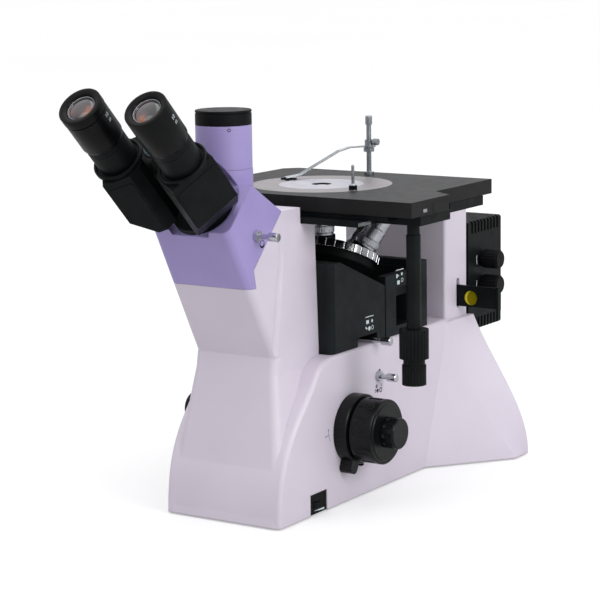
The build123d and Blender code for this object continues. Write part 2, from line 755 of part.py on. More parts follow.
def nosepiece():
    """Carrier that the focus lifts, and the turret with its grip and objectives."""
    slide_y = (SLIDE_FACE, SLIDE_FACE + SLIDE_T)
    slide = block((-SLIDE_HALF, SLIDE_HALF), slide_y, (SLIDE_LOW, APEX_Z + ARM_HIGH))
    arm = block((-ARM_HALF, ARM_HALF), (SLIDE_FACE, ARM_FRONT), (APEX_Z + ARM_LOW, APEX_Z + ARM_HIGH))
    seat_top = RIM_LOW - SLIDING
    cup = [(SEAT_HUB_R, SEAT_LOW), (RIM_R - 4, RIM_LOW - 8), (RIM_R - 3, seat_top)]
    seat = turned(TURRET, (0, SEAT_LOW), *cup, (0, seat_top))
    carrier = slide + arm + seat
    carrier -= bar(place(0, 0), SCREW_R + 2, APEX_Z, APEX_Z + 2 * RIM_R)
    carrier -= bar(TURRET, PIVOT_PIN_R + RUNNING, RIM_LOW - 9, RIM_LOW + PAST)
    keep("nosepiece_carrier", carrier)

    shell = RIM_R - 3
    top = RIM_HIGH - 2
    pin = [(0, RIM_LOW - 8), (PIVOT_PIN_R, RIM_LOW - 8), (PIVOT_PIN_R, RIM_LOW)]
    crown = [(shell, RIM_LOW), (shell, top), (16, top), (12, top + 3), (0, top + 3)]
    turret = turned(TURRET, *pin, *crown)
    for number in range(len(OBJECTIVES)):
        port = bar(objective_axis(number), PORT_R, SOCKET_L - 12, SOCKET_L + PORT_H)
        turret += port - bar(TURRET, 2 * RIM_R, 0, top + SLIDING)
    for number in range(len(OBJECTIVES)):
        turret -= bar(objective_axis(number), SCREW_R, 0, SOCKET_L + 20)
    keep("turret", turret)

    rim = Circle(RIM_R) - PolarLocations(RIM_R + 0.5, GRIP_RIDGES) * Circle(GRIP_GROOVE_R) - Circle(shell)
    keep("turret_grip", extrude(TURRET.offset(RIM_LOW) * rim, top - RIM_LOW))
    for number, (name, length, tip_r) in enumerate(OBJECTIVES):
        keep(name, objective(objective_axis(number), length, tip_r))


def objective_axis(number):
    """Axis of one socket; number 0 stands upright on the optical axis."""
    start = Plane(origin=(0, 0, APEX_Z))
    turn = TURRET.location * Rot(0, 0, 90 * number) * TURRET.location.inverse()
    return Plane(turn * start.location)


def objective(axis, length, tip_r):
    """Turned barrel, screwed in from its shoulder downwards, with a knurled collar and a tapered nose."""
    foot = SOCKET_L + PORT_H
    top = foot + length
    wide = OBJECTIVE_R
    bore = SCREW_R - 2.5
    groove = [(wide - 0.5, foot), (wide - 0.5, foot + 2)]
    collar = groove + [(wide, foot + 2.6), (wide, foot + 9), (wide - 0.6, foot + 9.6)]
    waist = [(wide - 1.2, foot + 9.6), (wide - 1.2, foot + 21)]
    barrel = waist + [(wide - 2, foot + 22), (wide - 2, top - 11)]
    nose = [(tip_r, top - 3), (tip_r, top), (tip_r - 2.5, top), (tip_r - 2.5, top - 1.5), (0, top - 1.5)]
    inside = [(0, top - 5), (bore, top - 14)]
    return turned(axis, (bore, foot - 5), (SCREW_R, foot - 5), (SCREW_R, foot), *collar, *barrel, *nose, *inside)


def lamp():
    """Lamp house with its vents, lamp, collector and knobs, and the filter slider in front of it."""
    outer = block((-REAR_HALF, REAR_HALF), (LAMP_FRONT, LAMP_BACK), (LAMP_LOW, LAMP_HIGH))
    outer = fillet(outer.edges().filter_by(Axis.Y), LAMP_EDGE)
    inner = REAR_HALF - LAMP_WALL
    room_y = (LAMP_FRONT + LAMP_WALL, LAMP_BACK - LAMP_WALL)
    shell = outer - block((-inner, inner), room_y, (LAMP_LOW + LAMP_WALL, LAMP_HIGH - LAMP_WALL))
    pitch = (LAMP_BACK - LAMP_FRONT - 10) / VENTS
    for number in range(VENTS):
        y = LAMP_FRONT + 5 + pitch * (number + 0.5)
        for z in (LAMP_LOW, LAMP_HIGH):
            vent = (y - VENT_W / 2, y + VENT_W / 2)
            shell -= block((-REAR_HALF - PAST, REAR_HALF + PAST), vent, (z - VENT_H, z + VENT_H))
    shell -= bar(BEAM, BEAM_R, LAMP_FRONT - PAST, LAMP_FRONT + 20)
    for z in LAMP_KNOBS.values():
        shell -= bar(crossway(LAMP_KNOB_Y, z), LAMP_SHAFT_R + RUNNING, inner - PAST, REAR_HALF + PAST)
    spigot = bar(BEAM, BEAM_R + 5, REAR_BACK, LAMP_FRONT) - bar(BEAM, BEAM_R, 0, LAMP_BACK)
    keep("lamp_house", shell + spigot)

    back = LAMP_FRONT + COLLECTOR_L
    shell = [(BEAM_R, room_y[0]), (BEAM_R + 4, room_y[0]), (BEAM_R + 4, back), (0, back)]
    tube = turned(BEAM, *shell, (0, back - 6), (BEAM_R, back - 6))
    keep("collector_tube", tube)
    socket_top = BEAM_Z - 6
    keep("lamp_socket", block((-14, 14), (LAMP_Y - 7, LAMP_Y + 7), (LAMP_LOW + LAMP_WALL, socket_top)))
    keep("lamp_bulb", turned(place(0, LAMP_Y, socket_top), (0, 0), (5, 0), (6, 8), (3, 14), (0, 15)))
    for name, z in LAMP_KNOBS.items():
        keep(name, lamp_knob(crossway(LAMP_KNOB_Y, z)))

    plate = filter_block_shape(-FILTER_IN, FILTER_OUT - FILTER_GRIP)
    plate += filter_block_shape(FILTER_OUT - FILTER_GRIP, FILTER_OUT, 1.2)
    for number in range(3):
        plate -= bar(glass_axis(number), GLASS_R, FILTER_Y - PAST, FILTER_Y + PAST)
    keep("filter_slider", plate)
    keep("filter_glasses", *[bar(glass_axis(n), GLASS_R, FILTER_Y - 1, FILTER_Y + 1) for n in (1, 2)])


def lamp_knob(axis):
    """Ribbed knob on a short shaft through the lamp house wall."""
    face = REAR_HALF + SLIDING
    end = face + LAMP_KNOB_H
    knob = fluted(axis, LAMP_KNOB_R, face + LAMP_COLLAR_H, end - 1.5, 20, 0.8)
    knob += bar(axis, LAMP_KNOB_R - 1.5, face, face + LAMP_COLLAR_H)
    knob += bar(axis, LAMP_KNOB_R - 1.5, end - 1.5, end)
    return knob + bar(axis, LAMP_SHAFT_R, REAR_HALF - 12, face)


def glass_axis(number):
    """Axis along the beam through one hole of the filter slider."""
    return Plane(BEAM.location * Pos(GLASS_PITCH * number, 0, 0))


def stage():
    """Fixed base, carriage, drive, top plate and the turning ring with its insert and pin."""
    base = block((-BASE_HALF, BASE_HALF), (BASE_FRONT, BASE_BACK), (SEAT_Z, BASE_TOP))
    base += block((-REAR_HALF + 6, REAR_HALF - 6), (BASE_BACK, REAR_BACK), (SEAT_Z, BASE_TOP))
    base -= bar(place(0, 0), BASE_HOLE_R, SEAT_Z - PAST, BASE_TOP + PAST)
    keep("stage_base", base)

    low = BASE_TOP + SLIDING
    high = PLATE_LOW - SLIDING
    beside = BASE_HALF + 1
    carriage = block((-BASE_HALF, PLATE_RIGHT - 3), (CARRIAGE_FRONT, CARRIAGE_BACK), (low, high))
    carriage += block((beside, PLATE_RIGHT), (25, CARRIAGE_BACK), (SEAT_Z, high))
    carriage += block((beside, EAR_RIGHT - 2), (DRIVE_Y - 9, EAR_BACK + 5.6), (SEAT_Z, high))
    carriage -= bar(place(0, 0), BASE_HOLE_R, SEAT_Z - PAST, high + PAST)
    carriage -= bar(DRIVE, SLEEVE_NECK_R, SEAT_Z - PAST, high - 2)
    keep("stage_carriage", carriage)
    stage_drive(high)

    outline = [
        (PLATE_LEFT, PLATE_FRONT),
        (EAR_RIGHT, PLATE_FRONT),
        (EAR_RIGHT, EAR_BACK),
        (PLATE_RIGHT, EAR_BACK + 17),
        (PLATE_RIGHT, PLATE_BACK),
        (PLATE_LEFT + PLATE_CORNER, PLATE_BACK),
        (PLATE_LEFT, PLATE_BACK - PLATE_CORNER),
    ]
    sheet = Polygon(*outline, align=None)
    plate = extrude(Pos(0, 0, PLATE_LOW) * sheet, PLATE_T)
    plate -= extrude(Pos(0, 0, PLATE_LOW - PAST) * offset(sheet, -PLATE_RIM), PLATE_T - PLATE_SKIN + PAST)
    plate -= bar(place(0, 0), RING_R + RUNNING, STAGE_TOP - RING_T, STAGE_TOP + PAST)
    plate -= bar(place(0, 0), RING_R - RING_SEAT, PLATE_LOW - PAST, STAGE_TOP)
    plate -= bar(place(0, POST_Y), CLAMP_POST_R, STAGE_TOP - POST_SEAT, STAGE_TOP + PAST)
    keep("stage_plate", plate)

    ring = bar(place(0, 0), RING_R, STAGE_TOP - RING_T, STAGE_TOP)
    ring -= bar(place(0, 0), INSERT_R, STAGE_TOP - INSERT_T, STAGE_TOP + PAST)
    ring -= bar(place(0, 0), INSERT_R - 3, STAGE_TOP - 2 * RING_T, STAGE_TOP + PAST)
    ring -= bar(place(*PIN_XY), PIN_R, STAGE_TOP - 2 * RING_T, STAGE_TOP + PAST)
    keep("ring_plate", ring)
    insert = bar(place(0, 0), INSERT_R, STAGE_TOP - INSERT_T, STAGE_TOP)
    keep("stage_insert", insert - bar(place(0, 0), HOLE_R, STAGE_TOP - 2 * RING_T, STAGE_TOP + PAST))
    nut = [(PIN_R, 0), (PIN_NUT_R, 0), (PIN_NUT_R, 5), (PIN_R, 6.5)]
    stem = [(PIN_R, PIN_H - 1), (PIN_R - 0.7, PIN_H), (0, PIN_H)]
    pin = turned(place(*PIN_XY, STAGE_TOP), (0, -RING_T), (PIN_R, -RING_T), *nut, *stem)
    keep("ring_pin", pin)


def stage_drive(high):
    """Hanging sleeve with the two coaxial stage knobs."""
    bore = DRIVE_BORE_R
    neck_low = SEAT_Z - SLEEVE_NECK_H
    sleeve = turned(DRIVE, (bore, SLEEVE_LOW), (DRIVE_SLEEVE_R, SLEEVE_LOW), (DRIVE_SLEEVE_R, neck_low - 1),
                    (SLEEVE_NECK_R, neck_low), (SLEEVE_NECK_R, high - 2), (bore, high - 2))
    keep("drive_sleeve", sleeve)
    y_low = SLEEVE_LOW - SLIDING - Y_KNOB_H
    y_knob = fluted(DRIVE, Y_KNOB_R, y_low, SLEEVE_LOW - SLIDING, 24, 1.0)
    y_knob += bar(DRIVE, bore - RUNNING, y_low, high - 3)
    keep("y_knob", y_knob - bar(DRIVE, X_SHAFT_R + RUNNING, y_low - PAST, high + PAST))
    neck_top = y_low - SLIDING
    neck_foot = neck_top - X_NECK_H
    x_knob = bar(DRIVE, X_KNOB_R - 1.2, neck_foot, neck_top)
    x_knob += fluted(DRIVE, X_KNOB_R, neck_foot - X_KNOB_H, neck_foot, 24, 0.8)
    keep("x_knob", x_knob + bar(DRIVE, X_SHAFT_R, neck_foot, high - 3))


def clamp():
    """Post, sliding collar, spring arm and crossed foot that hold a specimen down."""
    top = CLAMP_POST_H
    stud = [(0, -POST_SEAT), (CLAMP_POST_R, -POST_SEAT), (CLAMP_POST_R, 0), (5, 0), (5, 3)]
    head = [(3.5, top - 9), (3.5, top - 1), (2.8, top), (0, top)]
    stem = [(CLAMP_POST_R, 3.5), (CLAMP_POST_R, top - 9)]
    post = turned(place(0, POST_Y, STAGE_TOP), *stud, *stem, *head)
    keep("clamp_post", post)
    bore = CLAMP_POST_R + RUNNING
    hub = [(5.5, -6), (5.5, -2.2), (COLLAR_HUB_R, -2.2), (COLLAR_HUB_R, 6)]
    collar = turned(place(0, POST_Y, CLAMP_Z), (bore, -6), *hub, (bore, 6))
    grip = Plane(origin=(0, POST_Y, CLAMP_Z + 4), x_dir=(0, 1, 0), z_dir=(1, 0, 0))
    collar += fluted(grip, 3.4, 5.5, 11, 14, 0.4) + bar(grip, 1.5, 3.5, 5.5)
    keep("clamp_collar", collar)

    foot_x, foot_y = CLAMP_FOOT
    reach = hypot(foot_x, foot_y - POST_Y)
    ahead = foot_y - POST_Y
    run = Plane(origin=(0, POST_Y, CLAMP_Z), x_dir=(foot_x, ahead, 0), z_dir=(ahead, -foot_x, 0))
    drop = CLAMP_RISE - 3.0
    upper = [(0, 0), (22, 0), (34, -3), (reach - 12, -drop + 2), (reach + 4, -drop)]
    lower = [(x, y - ARM_STRIP_T) for x, y in reversed(upper)]
    strip = prism(run, upper + lower, -ARM_STRIP_HALF, ARM_STRIP_HALF)
    strip += bar(place(0, POST_Y, CLAMP_Z), COLLAR_HUB_R + 2.8, -ARM_STRIP_T, 0)
    keep("clamp_arm", strip - bar(place(0, POST_Y, CLAMP_Z), COLLAR_HUB_R + RUNNING, -PAST, PAST))

    foot_h = CLAMP_RISE - drop - ARM_STRIP_T - SLIDING + 0.001
    foot = block((-CLAMP_FOOT_L, CLAMP_FOOT_L), (-1.5, 1.5), (0, foot_h))
    cross = foot + Rot(0, 0, 90) * foot
    keep("clamp_foot", Pos(foot_x, foot_y, STAGE_TOP + SLIDING) * Rot(0, 0, 20) * cross)


def head():
    """Head body with the camera tube, its cap and the three pull rods."""
    body = front_blank() & head_room()
    body += bar(place(0, PHOTO_Y), PHOTO_R, COLUMN_TOP + 2, PHOTO_SEAM_Z)
    pocket = bar(HINGE, POCKET_R, POCKET_FLOOR, POCKET_FLOOR + 80)
    body -= pocket
    axis = crossway(*HEAD_ROD)
    seat = HEAD_HALF - 12
    body -= bar(axis, BUSH_R, seat, HEAD_HALF + 20)
    body -= bar(axis, ROD_R + LOOSE, seat - 18, seat)
    keep("head_body", body)

    tube_r = PHOTO_R - PHOTO_WALL_GAP
    tube = bar(place(0, PHOTO_Y), tube_r, PHOTO_SEAM_Z, PHOTO_TOP_Z) - pocket
    tube -= bar(place(0, PHOTO_Y), CAP_PLUG_R, PHOTO_TOP_Z - 25, PHOTO_TOP_Z + PAST)
    tube -= bar(place(0, PHOTO_Y), PHOTO_BORE_R, PHOTO_SEAM_Z - PAST, PHOTO_TOP_Z)
    keep("phototube", tube)
    plug_r = CAP_PLUG_R - RUNNING * 2
    plug = [(0, -CAP_PLUG_H), (plug_r, -CAP_PLUG_H), (plug_r, SLIDING), (tube_r, SLIDING)]
    groove = [(tube_r - 0.7, CAP_H - 3), (tube_r - 0.7, CAP_H - 2.4)]
    crown = [(tube_r, CAP_H - 0.6), (tube_r - 0.6, CAP_H), (0, CAP_H)]
    skirt = [(tube_r, CAP_H - 3.4), *groove, (tube_r, CAP_H - 2)]
    keep("phototube_cap", turned(place(0, PHOTO_Y, PHOTO_TOP_Z), *plug, *skirt, *crown))

    face = side_at(HEAD_ROD[1] - BUSH_R - 1)
    path = crossway(*PATH_ROD)
    keep("rod_bushings", bushing(axis, seat, face), bushing(path, BODY_HALF - WALL - PAST, BODY_HALF))
    pull_rod("head_rod", axis, seat - 16, face + ROD_OUT + 3)
    pull_rod("light_path_rod", path, BODY_HALF - 20, BODY_HALF + ROD_OUT)
    pull_rod("contrast_rod", crossway(*CONTRAST_ROD), CUBE_HALF - 7, HOUSING_HALF + ROD_OUT + 1.3)


def binocular():
    """Hub on the head, and a prism box, tube and eyepiece on each side of it."""
    flange_top = POCKET_FLOOR + HUB_T
    lug_low = BOX_LOW + 2
    cap_low = lug_low + 2 * LUG_H + LUG_GAP + 2
    hub = bar(HINGE, HUB_R, POCKET_FLOOR, flange_top)
    hub += bar(HINGE, POST_R + 4, flange_top, lug_low - SLIDING)
    hub += bar(HINGE, POST_R, lug_low - SLIDING, cap_low)
    keep("binocular_hub", hub)
    keep("hub_cap", bar(HINGE, LUG_R, cap_low, cap_low + HUB_CAP_T))

    prism_box("right", 1, lug_low)
    prism_box("left", -1, lug_low + LUG_H + LUG_GAP)


def prism_box(side, sign, lug):
    """One arm: the box with its lug, the eyepiece tube on it and the eyepiece in the tube."""
    frame = Plane(HINGE.location * Rot(0, 0, -sign * ARM_TURN))
    points = [
        (BOX_OUT, BOX_FRONT),
        (BOX_SLANT[0], BOX_FRONT),
        (BOX_SLANT[1], BOX_SLANT_Y[0]),
        (BOX_IN, BOX_SLANT_Y[1]),
        (BOX_IN, BOX_REAR),
        (BOX_OUT, BOX_REAR),
    ]
    box = prism(frame, [(sign * x, y) for x, y in points], BOX_LOW, BOX_HIGH)
    across, rise = BOX_BEVEL
    slope = rise / across
    out = BOX_OUT + PAST
    wedge = [(BOX_OUT - across, BOX_LOW), (out, BOX_LOW - 1), (out, BOX_LOW + rise + PAST * slope)]
    outline = [(sign * x, y) for x, y in wedge]
    box -= prism(Plane(frame.location * Rot(90, 0, 0)), outline, -2 * LUG_R - 30, 2 * LUG_R + 30)
    web = Circle(LUG_R) + Pos(sign * (BOX_IN - 5.5), 2) * Rectangle(BOX_IN - 0.5, 20)
    arm = box + extrude(frame.offset(lug) * web, LUG_H)
    arm -= bar(frame, POST_R + RUNNING, 0, 2 * BOX_HIGH)
    eye = Plane(frame.location * Pos(sign * EYE_OUT, 0, 0))
    bore = SLEEVE_R + RUNNING * 1.2
    arm -= bar(eye, bore, BOX_HIGH - 6, BOX_HIGH + PAST)
    keep("arm_" + side, arm)
    foot = BOX_HIGH
    lip = foot + FLANGE_LIP
    trough = foot + FLANGE_TROUGH
    edge = [(FLANGE_R, lip - 1.2), (FLANGE_R - 0.5, lip - 0.3), (FLANGE_R - 1.3, lip)]
    inner = [(FLANGE_R - 2.1, lip - 0.3), (FLANGE_R - 2.8, trough), (TUBE_R, trough)]
    rise = [(TUBE_R, EYE_BASE), (bore, EYE_BASE)]
    tube = turned(eye, (bore, foot), (FLANGE_R, foot), *edge, *inner, *rise)
    keep("eyepiece_tube_" + side, tube)
    keep("eyepiece_" + side, eyepiece(eye, side == "left"))


def eyepiece(eye, dioptre):
    """Sleeve, barrel and cup; the left one has a dioptre ring above a groove."""
    low = EYE_BASE + SLIDING
    top = low + EYEPIECE_H
    groove = top - EYE_RING_H
    cup_floor = top - CUP_DEPTH
    inside = SLEEVE_R - 2
    sunk = low - EYEPIECE_SINK
    sleeve = [(inside, sunk), (SLEEVE_R, sunk), (SLEEVE_R, low), (TUBE_R, low)]
    ring = [
        (TUBE_R, groove - EYE_GROOVE),
        (TUBE_R - EYE_GROOVE, groove - EYE_GROOVE),
        (TUBE_R - EYE_GROOVE, groove),
        (EYE_RING_R, groove),
        (EYE_RING_R, top - 1.5),
    ]
    barrel = ring if dioptre else [(TUBE_R, top - 1.5)]
    cup = [(TUBE_R - 1.5, top), (TUBE_R - 3, top), (LENS_R, cup_floor), (0, cup_floor), (0, cup_floor - 4)]
    return turned(eye, *sleeve, *barrel, *cup, (LENS_R, cup_floor - 6), (inside, low - 4))


stand()
control_panel()
rear_panel()
housing()
focus_drive()
nosepiece()
lamp()
stage()
clamp()
head()
binocular()

os.makedirs("parts", exist_ok=True)
for name, shape in PARTS.items():
    export_step(shape, "parts/" + name + ".step")
print(len(PARTS), "sub-parts")
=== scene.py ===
"""Finishes, small fittings, light and camera for the inverted microscope."""

import json
import math

import bmesh
import bpy
from mathutils import Matrix, Vector

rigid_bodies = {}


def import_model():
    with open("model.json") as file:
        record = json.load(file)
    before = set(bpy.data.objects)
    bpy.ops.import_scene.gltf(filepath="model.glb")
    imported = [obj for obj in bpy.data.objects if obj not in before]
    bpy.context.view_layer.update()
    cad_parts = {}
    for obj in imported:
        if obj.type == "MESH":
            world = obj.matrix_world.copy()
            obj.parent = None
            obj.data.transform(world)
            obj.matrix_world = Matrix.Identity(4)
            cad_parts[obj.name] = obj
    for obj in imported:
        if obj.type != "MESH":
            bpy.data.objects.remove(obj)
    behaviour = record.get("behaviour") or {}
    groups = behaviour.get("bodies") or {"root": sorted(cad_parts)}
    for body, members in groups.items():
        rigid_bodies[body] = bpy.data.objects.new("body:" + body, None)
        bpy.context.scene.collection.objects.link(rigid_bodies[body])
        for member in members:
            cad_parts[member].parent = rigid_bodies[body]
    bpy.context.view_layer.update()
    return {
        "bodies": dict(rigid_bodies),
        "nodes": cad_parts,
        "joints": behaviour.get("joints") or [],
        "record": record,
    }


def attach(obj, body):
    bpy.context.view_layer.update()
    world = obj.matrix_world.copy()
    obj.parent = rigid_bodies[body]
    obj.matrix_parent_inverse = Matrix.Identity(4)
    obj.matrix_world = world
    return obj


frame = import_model()

MM = 0.001

# Camera, solved from the straight edges of the photograph
CAMERA_PLACE = (1.14457, -1.78756, 0.55417)
CAMERA_AZIMUTH = 33.25
CAMERA_PITCH = 9.871
CAMERA_ROLL = -0.853
FOCAL_PIXELS = 2161.88
PHOTO_PIXELS = 600
SENSOR_MM = 36.0

# Studio
FLOOR_SIZE = 240.0
FLOOR_COLOURS = ("C8C8C8", "CACACA")
FLOOR_GLOW = 0.42
SKY_COLOUR = "FBFBFD"
# Strength of the sky from below the horizon up to overhead
SKY_STRENGTH = (0.36, 1.16)
SKY_SPAN = (-0.1, 0.8)
# name, place, size, power, colour
LIGHTS = (
    ("side_light", (2.3, -0.5, 1.1), 1.0, 20.5, "FFFFFF"),
    ("front_light", (-0.4, -2.0, 1.9), 1.2, 4.0, "FFFCF8"),
    ("top_light", (0.2, 0.2, 2.4), 1.6, 8.0, "FFFFFF"),
    ("rear_light", (-1.2, 2.2, 1.5), 1.2, 4.0, "F8F9FF"),
)
LIGHT_AIM = (0.0, 0.0, 0.2)

# Paint colours
BODY_PAINT = ("D6CEDA", "D0C7D5")
HEAD_PAINT = ("A296CB", "998CC3")

# Places that the fittings need from the model, in millimetres
HINGE_AT = (0.0, -165.6, 266.1)
ARM_TURN = 29.5
EYE_OUT = 40.7
EYE_TOP = 209.3
EYE_BASE = 163.0
EYE_SLEEVE_R = 19.95
EYE_SLEEVE_RISE = 3.5
BARREL_R = 18.75
BOX_OUT = 57.5
BOX_IN = 31.0
BOX_FRONT = -24.5
BOX_REAR = 22.0
BOX_LOW = 62.0
BOX_HIGH = 138.0
BOX_BEVEL = (18.0, 23.0)
HUB_TOP = 122.0
APEX = (0.0, 0.0, 175.0)
TURRET_TILT = 25.0
RIM_R = 44.0
RIM_LOW = 55.5
OBJECTIVE_FOOT = 75.7
OBJECTIVE_R = 12.0
PHOTO_AT = (0.0, -165.6, 370.5)
PHOTO_R = 26.1
BODY_SIDE = 65.3
HOUSING_SIDE = 62.0
PANEL_SIDE = 64.5
EAR_SIDE = 155.0
CARRIAGE_SIDE = 153.0
BASE_SIDE = 106.0
STAGE_TOP = 301.0
PIN_AT = (55.1, -30.0)
HOLE_AT = (0.0, 0.0)
HOLE_R = 10.0
LAMP_SIDE = 61.0
LAMP_KNOBS = ((220.0, 201.0), (220.0, 174.0))
FILTER_AT = (77.0, 165.7, 167.5)
PRINT_T = 0.07


def linear(code):
    """The linear colour of a hex code, with full alpha."""
    parts = [int(code[i : i + 2], 16) / 255 for i in (0, 2, 4)]
    return (*(p / 12.92 if p <= 0.04045 else ((p + 0.055) / 1.055) ** 2.4 for p in parts), 1.0)


class Finish:
    """A material whose colour, gloss and surface vary over the piece."""

    def __init__(self, name, **sockets):
        self.material = bpy.data.materials.new(name)
        self.material.use_nodes = True
        self.tree = self.material.node_tree
        self.shader = self.tree.nodes["Principled BSDF"]
        for socket, value in sockets.items():
            self.shader.inputs[socket.replace("_", " ")].default_value = value
        self.place = self.tree.nodes.new("ShaderNodeTexCoord").outputs["Object"]
        self.normal = None

    def add(self, kind, **inputs):
        node = self.tree.nodes.new(kind)
        for socket, value in inputs.items():
            node.inputs[socket.replace("_", " ")].default_value = value
        return node

    def join(self, source, target):
        self.tree.links.new(source, target)

    def noise(self, per_metre, detail=2.0, stretch=(1, 1, 1)):
        """Noise with so many cells to the metre, drawn out along an axis by stretch."""
        mapping = self.add("ShaderNodeMapping", Scale=stretch)
        self.join(self.place, mapping.inputs["Vector"])
        noise = self.add("ShaderNodeTexNoise", Scale=per_metre, Detail=detail)
        self.join(mapping.outputs["Vector"], noise.inputs["Vector"])
        return noise.outputs["Fac"]

    def mottle(self, dark, light, per_metre, detail=3.0, stretch=(1, 1, 1)):
        """Colour that wanders between two near tones."""
        ramp = self.tree.nodes.new("ShaderNodeValToRGB")
        ramp.color_ramp.elements[0].position = 0.35
        ramp.color_ramp.elements[1].position = 0.65
        ramp.color_ramp.elements[0].color = linear(dark)
        ramp.color_ramp.elements[1].color = linear(light)
        self.join(self.noise(per_metre, detail, stretch), ramp.inputs["Fac"])
        self.join(ramp.outputs["Color"], self.shader.inputs["Base Color"])
        return self

    def gloss(self, low, high, per_metre, detail=3.0, stretch=(1, 1, 1)):
        """Roughness that wanders between two values."""
        spread = self.tree.nodes.new("ShaderNodeMapRange")
        spread.inputs["From Min"].default_value = 0.3
        spread.inputs["From Max"].default_value = 0.7
        spread.inputs["To Min"].default_value = low
        spread.inputs["To Max"].default_value = high
        self.join(self.noise(per_metre, detail, stretch), spread.inputs["Value"])
        self.join(spread.outputs["Result"], self.shader.inputs["Roughness"])
        return self

    def soften(self, radius):
        """Edges that catch the light as a real broken edge does."""
        bevel = self.add("ShaderNodeBevel", Radius=radius)
        bevel.samples = 4
        self.normal = bevel.outputs["Normal"]
        self.join(self.normal, self.shader.inputs["Normal"])
        return self

    def grain(self, per_metre, height, strength=0.4, detail=2.0, stretch=(1, 1, 1)):
        """Fine relief: orange peel, moulded texture or tool marks."""
        bump = self.add("ShaderNodeBump", Strength=strength, Distance=height)
        self.join(self.noise(per_metre, detail, stretch), bump.inputs["Height"])
        if self.normal:
            self.join(self.normal, bump.inputs["Normal"])
        self.normal = bump.outputs["Normal"]
        self.join(self.normal, self.shader.inputs["Normal"])
        return self


def paint(name, tones):
    """Satin powder coat on a casting, with a faint orange peel."""
    finish = Finish(name, Roughness=0.4, Coat_Weight=0.12, Coat_Roughness=0.3)
    finish.mottle(tones[1], tones[0], 9.0).gloss(0.36, 0.46, 60.0)
    return finish.soften(0.0018).grain(1400.0, 0.00005, 0.35).material


def black_coat(name, dark="0C0F10", light="131717", low=0.4, high=0.54, edge=0.0005):
    """Black anodised or painted metal with a fine sandblasted tooth."""
    finish = Finish(name, Roughness=0.4, Specular_IOR_Level=0.11)
    finish.mottle(dark, light, 40.0).gloss(low, high, 90.0)
    return finish.soften(edge).grain(2600.0, 0.00003, 0.5).material


def moulded(name, dark="0C0D0F", light="141517", low=0.42, high=0.56, shine=0.11):
    """Moulded black plastic, a little softer in its shine than the metal."""
    finish = Finish(name, Roughness=0.5, Specular_IOR_Level=shine)
    finish.mottle(dark, light, 55.0).gloss(low, high, 120.0)
    return finish.soften(0.0006).grain(1900.0, 0.00004, 0.45).material


def metal(name, dark, light, low, high, stretch=(1, 1, 1), edge=0.0003):
    """Plated or turned metal with faint tool marks."""
    finish = Finish(name, Metallic=1.0, Roughness=0.2)
    finish.mottle(dark, light, 70.0, stretch=stretch).gloss(low, high, 300.0, stretch=stretch)
    return finish.soften(edge).grain(1500.0, 0.00001, 0.3, stretch=stretch).material


def rubber(name):
    """Matt black rubber."""
    finish = Finish(name, Roughness=0.8, Specular_IOR_Level=0.3)
    finish.mottle("121313", "1C1D1D", 60.0).gloss(0.66, 0.86, 80.0)
    return finish.soften(0.0008).grain(1200.0, 0.00008, 0.6).material


def clear_glass(name, dark, light, roughness=0.02, through=1.0):
    """Polished optical glass with a tint and a trace of smear."""
    finish = Finish(name, Transmission_Weight=through, IOR=1.52, Roughness=roughness)
    finish.mottle(dark, light, 30.0).gloss(roughness, roughness + 0.05, 140.0)
    return finish.material


def print_and_painted_light(name, dark, light):
    """Flat matt colour: printed ink, and also the painted highlight of the filter glass and the painted shade
    of holes.
    """
    return Finish(name, Roughness=0.6).mottle(dark, light, 400.0).gloss(0.5, 0.65, 300.0).material


def lens_with_painted_reflection(name):
    """Eye lens of coated glass whose base colour is mottled from near-black through rose to amber: a painted
    reflection of what the coatings throw back out of the dark barrel.
    """
    finish = Finish(name, Roughness=0.03, Coat_Weight=1.0, Coat_Roughness=0.02, IOR=1.6)
    # painted reflection: the rose and amber tones below stand for light thrown back by the coatings
    ramp = finish.tree.nodes.new("ShaderNodeValToRGB")
    ramp.color_ramp.elements[0].position = 0.46
    ramp.color_ramp.elements[0].color = linear("070607")
    ramp.color_ramp.elements[1].position = 0.7
    ramp.color_ramp.elements[1].color = linear("9A5F3C")
    middle = ramp.color_ramp.elements.new(0.58)
    middle.color = linear("45272E")
    finish.join(finish.noise(60.0, 0.5), ramp.inputs["Fac"])
    finish.join(ramp.outputs["Color"], finish.shader.inputs["Base Color"])
    return finish.gloss(0.02, 0.05, 60.0).material


BODY = paint("body_paint_finish", BODY_PAINT)
HEAD = paint("head_paint_finish", HEAD_PAINT)
ANODISED = black_coat("black_anodised_finish")
BLOCK = black_coat("block_finish", "121617", "191E1F", 0.4, 0.52)
PLASTIC = moulded("black_plastic_finish")
SLEEVE = moulded("eye_sleeve_finish", "08090A", "0E0F10", 0.3, 0.38, 0.13)
KNOB = moulded("knob_finish", "090B0C", "101213", 0.26, 0.36, 0.2)
CHROME = metal("chrome_finish", "B4B6BA", "CCCED1", 0.09, 0.18)
SATIN = metal("satin_chrome_finish", "A9ACB2", "C0C2C7", 0.24, 0.34)
STEEL = metal("steel_finish", "8C9296", "A6ABAE", 0.22, 0.36)
RING = metal("stage_ring_finish", "928D8E", "989394", 0.44, 0.52)
INSERT = metal("stage_insert_finish", "B2B0B8", "BEBCC4", 0.3, 0.4)
RUBBER = rubber("rubber_finish")
GLASS = clear_glass("clear_glass_finish", "F4F6F6", "FCFDFD")
FILTER_GLASS = clear_glass("filter_glass_finish", "9C8E00", "AC9E0C", 0.05, 0.4)
